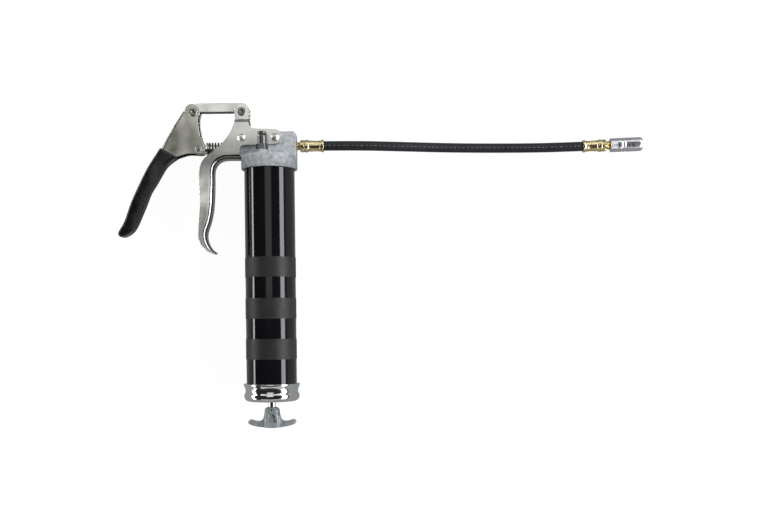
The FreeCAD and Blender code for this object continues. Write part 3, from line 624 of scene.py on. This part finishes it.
def lathe(name, loop, origin, way, around=120, reach=None, sharp=40.0):
    """A closed outline of (radius, station) millimetres turned round an axis.

    reach(radius, station, angle), if given, says how far out a point really is.
    """
    way = Vector(way).normalized()
    side = X_AXIS if abs(way.z) > 0.9 else Z_AXIS
    other = way.cross(side)
    mesh = bmesh.new()
    rings = []
    for radius, station in loop:
        ring = []
        for step in range(around):
            angle = 2 * math.pi * step / around
            out = reach(radius, station, angle) if reach else radius
            spot = Vector(origin) + way * station * MM
            spot += (side * math.cos(angle) + other * math.sin(angle)) * out * MM
            ring.append(mesh.verts.new(spot))
        rings.append(ring)
    for index, ring in enumerate(rings):
        following = rings[(index + 1) % len(rings)]
        for step in range(around):
            mesh.faces.new((ring[step], ring[(step + 1) % around], following[(step + 1) % around],
                            following[step]))
    return new_object(name, finish_mesh(name, mesh, sharp))


def hex_reach(across, turn):
    """reach() for a hexagonal bar: points inside the flats stay where they are."""
    def reach(radius, station, angle):
        sector = (angle - turn) % (math.pi / 3) - math.pi / 6
        return min(radius, across / 2 / math.cos(sector))
    return reach


def make_barrel_cap():
    top = CAP_TOP_Y
    outside = [
        (30.6, 0.0), (31.6, -0.25), (32.0, -1.0), (31.85, -1.9), (31.4, -3.0), (30.8, -4.4),
        (30.2, -6.2), (30.0, -8.0), (30.1, -9.6), (30.6, -11.0), (31.2, -12.2), (31.5, -13.6),
        (31.4, -15.2), (30.9, -16.8), (30.0, -18.2), (28.7, -19.4), (26.8, -20.1),
    ]
    loop = spline_points(outside)
    inside = [(24.5, -20.3), (6.5, -20.3), (6.5, -18.3), (28.7, -18.3), (28.7, -0.2)]
    loop = loop + [Vector(point) for point in inside]
    cap = lathe("cap_turned", loop, place(0, top, 0), Y_AXIS, 160)
    stand_in(cap, "barrel_cap")


FERRULE_LINE = [
    (6.5, 0.0), (7.05, 0.6), (7.2, 2.0), (7.1, 3.6), (6.7, 4.7), (6.25, 5.3), (6.15, 5.8),
    (6.4, 6.4), (6.3, 9.0), (6.15, 12.0), (6.2, 15.0), (6.3, 17.0), (6.1, 17.7), (6.15, 18.3),
    (6.6, 18.8), (7.1, 20.0), (7.2, 21.2), (7.0, 21.9), (6.6, 22.1),
]


def crimped(radius, station, angle):
    """Eight shallow flats left by the crimping jaws on the ferrule's middle."""
    if radius < 5.6 or not 6.6 < station < 17.0:
        return radius
    fade = min(station - 6.6, 17.0 - station, 1.5) / 1.5
    return radius - 0.22 * fade * abs(math.sin(4 * angle))


def ferrule(name, origin, way, node):
    loop = spline_points(FERRULE_LINE, 4)
    for corner in ((5.5, 22.1), (5.5, 20.1), (2.6, 20.1), (2.6, 0.0)):
        loop.append(Vector(corner))
    piece = lathe(name, loop, origin, way, 96, crimped)
    return stand_in(piece, node)


def nipple(name, origin, way, shank, node):
    """Hexagon with turned-down corners, a threaded shank and the hose tail.

    Station 0 is the hexagon's face on the ferrule side and the shank runs to minus.
    """
    hex_long = 4.7
    across = 12.9
    corner = across / math.sqrt(3)
    loop = [Vector((1.6, 20.0)), Vector((2.55, 20.0)), Vector((2.55, 0.0)),
            Vector((6.2, 0.0)), Vector((6.6, -0.15)), Vector((corner, -0.75)),
            Vector((corner, 0.75 - hex_long)), Vector((6.6, 0.15 - hex_long)),
            Vector((6.2, -hex_long)), Vector((4.5, -hex_long))]
    station = -hex_long - 0.5
    while station > -hex_long - shank + 1.0:
        for radius, step in ((4.35, 0.0), (4.85, -0.28), (4.85, -0.4), (4.35, -0.68)):
            loop.append(Vector((radius, station + step)))
        station -= 0.94
    loop.append(Vector((4.3, -hex_long - shank)))
    loop.append(Vector((1.6, -hex_long - shank)))
    piece = lathe(name, loop, origin, way, 120, hex_reach(across, 0.0), 25.0)
    return stand_in(piece, node)


def far_way():
    before = place(*HOSE_POINTS[-2])
    return (place(*HOSE_POINTS[-1]) - before).normalized()


def coupler_ribs(start, count, pitch, radius, depth):
    points = []
    for rib in range(count):
        low = start + rib * pitch
        points += [(radius, low), (radius, low + 0.45 * pitch), (radius - depth, low + 0.6 * pitch),
                   (radius - depth, low + 0.85 * pitch)]
    return points


def make_coupler():
    start = 31.9
    full = 8.1
    origin = place(*HOSE_POINTS[-1])
    way = far_way()
    outside = [(4.9, 0.0), (7.2, 0.0), (full, 0.7)]
    outside += coupler_ribs(1.0, 4, 1.6, full, 0.5)
    outside += [(full, 7.6), (full, 12.9), (full - 0.35, 13.3), (full - 0.55, 14.0),
                (full - 0.35, 14.7), (full, 15.1), (full, 16.0)]
    inside = [(6.1, 16.0), (6.1, 22.0), (2.0, 22.0), (2.0, 9.4), (4.9, 9.4)]
    loop = rounded_loop([(r, s + start) for r, s in outside + inside], 0.15, 2)
    body = stand_in(lathe("coupler_body_turned", loop, origin, way, 120), "coupler_body")
    outside = [(6.15, 16.0), (full, 16.0), (full, 16.6), (full - 0.35, 17.0), (full - 0.55, 17.6),
               (full - 0.35, 18.2), (full, 18.6), (full, 34.3), (7.75, 35.6), (7.2, 36.8),
               (6.8, 37.0), (4.7, 37.0), (4.7, 36.0), (6.15, 32.5)]
    loop = rounded_loop([(r, s + start) for r, s in outside], 0.3, 3)
    sleeve = stand_in(lathe("coupler_sleeve_turned", loop, origin, way, 120), "coupler_sleeve")
    return [body, sleeve]


# ---------------------------------------------------------------- rivets

def both_heads(name, node, at, head, shank):
    """A rivet along Z: one head line of (radius, height), mirrored at the other end."""
    top = spline_points(head, 5)
    loop = [Vector(corner) for corner in top] + [Vector((shank, head[-1][1]))]
    loop += [Vector((corner.x, -corner.y)) for corner in reversed(loop)]
    return stand_in(lathe(name, loop, place(*at), Z_AXIS, 72, sharp=60.0), node)


# Head lines as (radius, height) in millimetres
PIVOT_HEAD = [
    (0.05, 7.0), (0.8, 7.05), (1.5, 7.3), (2.0, 7.8), (2.3, 8.5), (2.6, 9.0), (3.1, 9.2),
    (3.8, 9.1), (4.5, 8.85), (5.0, 8.4), (5.2, 8.0),
]
CROSS_HEAD = [
    (0.05, 7.3), (0.5, 7.35), (0.9, 7.6), (1.2, 8.1), (1.5, 8.6), (2.0, 8.8), (2.8, 8.7),
    (3.4, 8.4), (3.8, 8.0),
]
DOME_HEAD = [
    (0.05, 13.5), (0.8, 13.45), (1.6, 13.25), (2.4, 12.9), (3.2, 12.4), (3.9, 11.8),
    (4.5, 11.35), (4.75, 11.0),
]
PIVOT_A = (-30.1, 41.3)
PIVOT_B = (-85.3, 41.1)
PIVOT_C = (-79.6, 0.0)
DOME_REAR = (-30.2, 11.0)
DOME_FRONT = (8.0, 11.2)


def make_rivets():
    rolled = [
        both_heads("pivot_a_rolled", "link_pivot_rivet", PIVOT_A, PIVOT_HEAD, 3.4),
        both_heads("pivot_b_rolled", "lever_pivot_rivet", PIVOT_B, PIVOT_HEAD, 3.4),
        both_heads("cross_pin_rolled", "plunger_pin", PIVOT_C, CROSS_HEAD, 2.6),
    ]
    finish = rolled_metal()
    for rivet in rolled:
        rivet.data.materials[0] = finish
    for name, node, at in (("dome_rear", "frame_rivet_rear", DOME_REAR),
                           ("dome_front", "frame_rivet_front", DOME_FRONT)):
        dome = both_heads(name, node, at, DOME_HEAD, 2.6)
        dome.data.materials[0] = DOME_FINISH


# ---------------------------------------------------------------- cast and dipped parts

def melted(name, node, voxel, smoothing):
    """A copy of a CAD node with every edge softened, as a casting or a dipped skin."""
    source = frame["nodes"][node]
    work = new_object(name + "_work", source.data.copy())
    remesh = work.modifiers.new("remesh", "REMESH")
    remesh.mode = "VOXEL"
    remesh.voxel_size = voxel * MM
    remesh.use_smooth_shade = True
    smooth = work.modifiers.new("smooth", "SMOOTH")
    smooth.factor = 0.5
    smooth.iterations = smoothing
    graph = bpy.context.evaluated_depsgraph_get()
    mesh = bpy.data.meshes.new_from_object(work.evaluated_get(graph))
    mesh.name = name
    bpy.data.objects.remove(work)
    mesh.shade_smooth()
    return stand_in(new_object(name, mesh), node)


# ---------------------------------------------------------------- springs

def helix_points(origin, way, radius, wire, length, turns, closed=0.9, per_turn=36):
    """A compression spring's wire line; the end turns lie nearly closed."""
    way = Vector(way)
    side = Z_AXIS
    other = way.cross(side)
    free = turns - 2 * closed
    tight = 2 * wire * 1.05
    room = length - 2 * wire - 2 * closed * tight
    points = []
    total = int(turns * per_turn)
    for step in range(total + 1):
        turn = turns * step / total
        if turn < closed:
            along = turn * tight
        elif turn > turns - closed:
            along = closed * tight + room + (turn - turns + closed) * tight
        else:
            share = (turn - closed) / free
            along = closed * tight + room * share
        angle = 2 * math.pi * turn
        spot = Vector(origin) + way * (wire + along) * MM
        spot += (side * math.cos(angle) + other * math.sin(angle)) * radius * MM
        points.append(spot)
    return points


SPRINGS = (
    # name, node, start, way, radius, wire, length, turns, joint, anchor, keep
    ("return_spring_wire", "return_spring", (-69.8, 0, 0), X_AXIS, 7.0, 0.8, 32.4, 10,
     "plunger_stroke", (-37.4, 0, 0), 0.568),
    ("follower_spring_wire", "follower_spring", (0, -286.3, 0), Y_AXIS, 15.0, 1.1, 251.3, 16,
     "rod_pull", (0, -286.3, 0), 0.204),
    ("vent_spring_wire", "vent_spring", (VALVE_X, -2.0, VALVE_Z), Y_AXIS, 2.3, 0.4, 6.1, 3,
     "vent_press", (VALVE_X, -2.0, VALVE_Z), 0.754),
    ("check_spring_wire", "check_spring", (15.5, OUTLET_Y, 0), X_AXIS, 2.3, 0.4, 6.1, 3,
     "check_ball_lift", (21.6, OUTLET_Y, 0), 0.754),
)


def make_springs():
    for name, node, start, way, radius, wire, length, turns, joint, anchor, keep in SPRINGS:
        points = helix_points(place(*start), way, radius, wire, length, turns)
        spring = new_object(name, tube_mesh(name, points, wire * MM, 12))
        stand_in(spring, node)
        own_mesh(spring)


# ---------------------------------------------------------------- floor and light

def make_floor():
    size = 6.0
    mesh = bmesh.new()
    corners = [mesh.verts.new((x * size, y * size, -0.0002))
               for x, y in ((-1, -1), (1, -1), (1, 1), (-1, 1))]
    mesh.faces.new(corners)
    floor = new_object("bench", finish_mesh("bench", mesh))
    paint = Finish("bench_white", (0.12, 0.12, 0.12), roughness=0.9)
    paint.use(Roughness=paint.spread(paint.noise(0.4), 0.3, 0.7, 0.85, 0.95))
    paint.shader.inputs["Specular IOR Level"].default_value = 0.0
    paint.shader.inputs["Emission Color"].default_value = (1, 1, 1, 1)
    paint.shader.inputs["Emission Strength"].default_value = 0.94
    floor.data.materials.append(paint.material)
    floor.visible_glossy = False
    floor.visible_diffuse = False


def softbox(name, spot, aim, wide, long, radiance, colour=(1, 1, 1)):
    """A rectangular lamp of a given brightness, facing aim; long runs along Y or upwards."""
    data = bpy.data.lights.new(name, "AREA")
    data.shape = "RECTANGLE"
    data.size = wide
    data.size_y = long
    data.energy = math.pi * wide * long * radiance
    data.color = colour
    lamp = bpy.data.objects.new(name, data)
    lamp.location = spot
    out = (Vector(aim) - Vector(spot)).normalized()
    side = Y_AXIS.cross(-out).normalized()
    up = (-out).cross(side)
    turn = Matrix((side, up, -out)).transposed()
    lamp.rotation_euler = turn.to_euler()
    lamp.visible_camera = False
    bpy.context.collection.objects.link(lamp)


def make_lights():
    barrel = place(0, -130, 0)
    above = barrel + Vector((-0.05, 0.623, 1.6))
    beside = barrel + Vector((0.3, 0, 0))
    softbox("top_box", above, above - Vector((-0.05, 0, 1.6)), 0.8, 1.254, 1.0)
    softbox("far_box", beside + Vector((0, 1.4, 0.95)), beside, 3.2, 0.9, 1.25)
    softbox("near_box", beside + Vector((0, -1.8, 0.95)), beside, 3.2, 0.8, 0.7)
    softbox("left_strip", barrel + Vector((-1.5, 0, 0.29)), barrel, 0.24, 2.5, 10.0)
    softbox("right_strip", barrel + Vector((1.31, 0, 0.73)), barrel, 0.53, 2.5, 8.6, (0.97, 0.95, 1.0))


def make_world():
    """Dark above, grey at the horizon and below, and pale behind the object."""
    world = bpy.data.worlds.new("studio")
    bpy.context.scene.world = world
    world.use_nodes = True
    tree = world.node_tree
    tree.nodes.clear()
    output = tree.nodes.new("ShaderNodeOutputWorld")
    way = tree.nodes.new("ShaderNodeTexCoord")
    parts = tree.nodes.new("ShaderNodeSeparateXYZ")
    ramp = tree.nodes.new("ShaderNodeValToRGB")
    room = tree.nodes.new("ShaderNodeBackground")
    pale = tree.nodes.new("ShaderNodeBackground")
    ray = tree.nodes.new("ShaderNodeLightPath")
    choose = tree.nodes.new("ShaderNodeMixShader")
    stops = ((0.0, 0.38), (0.48, 0.42), (0.51, 0.45), (0.63, 0.03), (1.0, 0.025))
    elements = ramp.color_ramp.elements
    while len(elements) < len(stops):
        elements.new(0.5)
    for element, (spot, grey) in zip(elements, stops):
        element.position = spot
        element.color = (grey, grey, grey * 1.02, 1)
    half = tree.nodes.new("ShaderNodeMapRange")
    half.inputs["From Min"].default_value = -1.0
    tree.links.new(way.outputs["Generated"], parts.inputs[0])
    tree.links.new(parts.outputs["Z"], half.inputs["Value"])
    tree.links.new(half.outputs["Result"], ramp.inputs["Fac"])
    tree.links.new(ramp.outputs["Color"], room.inputs["Color"])
    pale.inputs["Color"].default_value = (0.98, 0.98, 0.98, 1)
    tree.links.new(ray.outputs["Is Camera Ray"], choose.inputs["Fac"])
    tree.links.new(room.outputs[0], choose.inputs[1])
    tree.links.new(pale.outputs[0], choose.inputs[2])
    tree.links.new(choose.outputs[0], output.inputs["Surface"])


# ---------------------------------------------------------------- assembly

make_camera()

hose_path = hose_line()
hose = new_object("hose_tube", tube_mesh("hose_tube", hose_path, HOSE_R * MM, 48, X_AXIS, far_way()))
stand_in(hose, "hose")

make_barrel_cap()
rear_face = place(REAR_FACE_X, OUTLET_Y, 0)
ferrule("ferrule_rear_turned", rear_face, X_AXIS, "hose_ferrule_rear")
nipple("nipple_rear_turned", rear_face, X_AXIS, SHANK_LONG, "hose_nipple_rear")

far_face = place(*HOSE_POINTS[-1]) + far_way() * FERRULE_LONG * MM
on_hose = [
    ferrule("ferrule_front_turned", far_face, -far_way(), "hose_ferrule_front"),
    nipple("nipple_front_turned", far_face, -far_way(), SHANK_LONG, "hose_nipple_front"),
]
on_hose += make_coupler()
on_hose += [frame["nodes"][name] for name in ("coupler_jaws", "coupler_spring", "coupler_seal")]

melted("head_cast", "head_casting", 0.6, 4)
handle = melted("handle_cast", "rod_handle", 0.3, 4)
handle.data.materials[0] = HANDLE_FINISH
melted("grip_dipped", "lever_grip", 0.5, 6)
make_springs()
make_rivets()

for node_name, node_object in frame["nodes"].items():
    if not node_object.hide_render:
        dress(node_object, slot_of(node_name))
frame["nodes"]["rear_lever"].data.materials[0] = LEVER_FINISH
frame["nodes"]["front_handle"].data.materials[0] = FRAME_FINISH

make_floor()
make_lights()
make_world()

bpy.context.scene.view_settings.view_transform = "Standard"
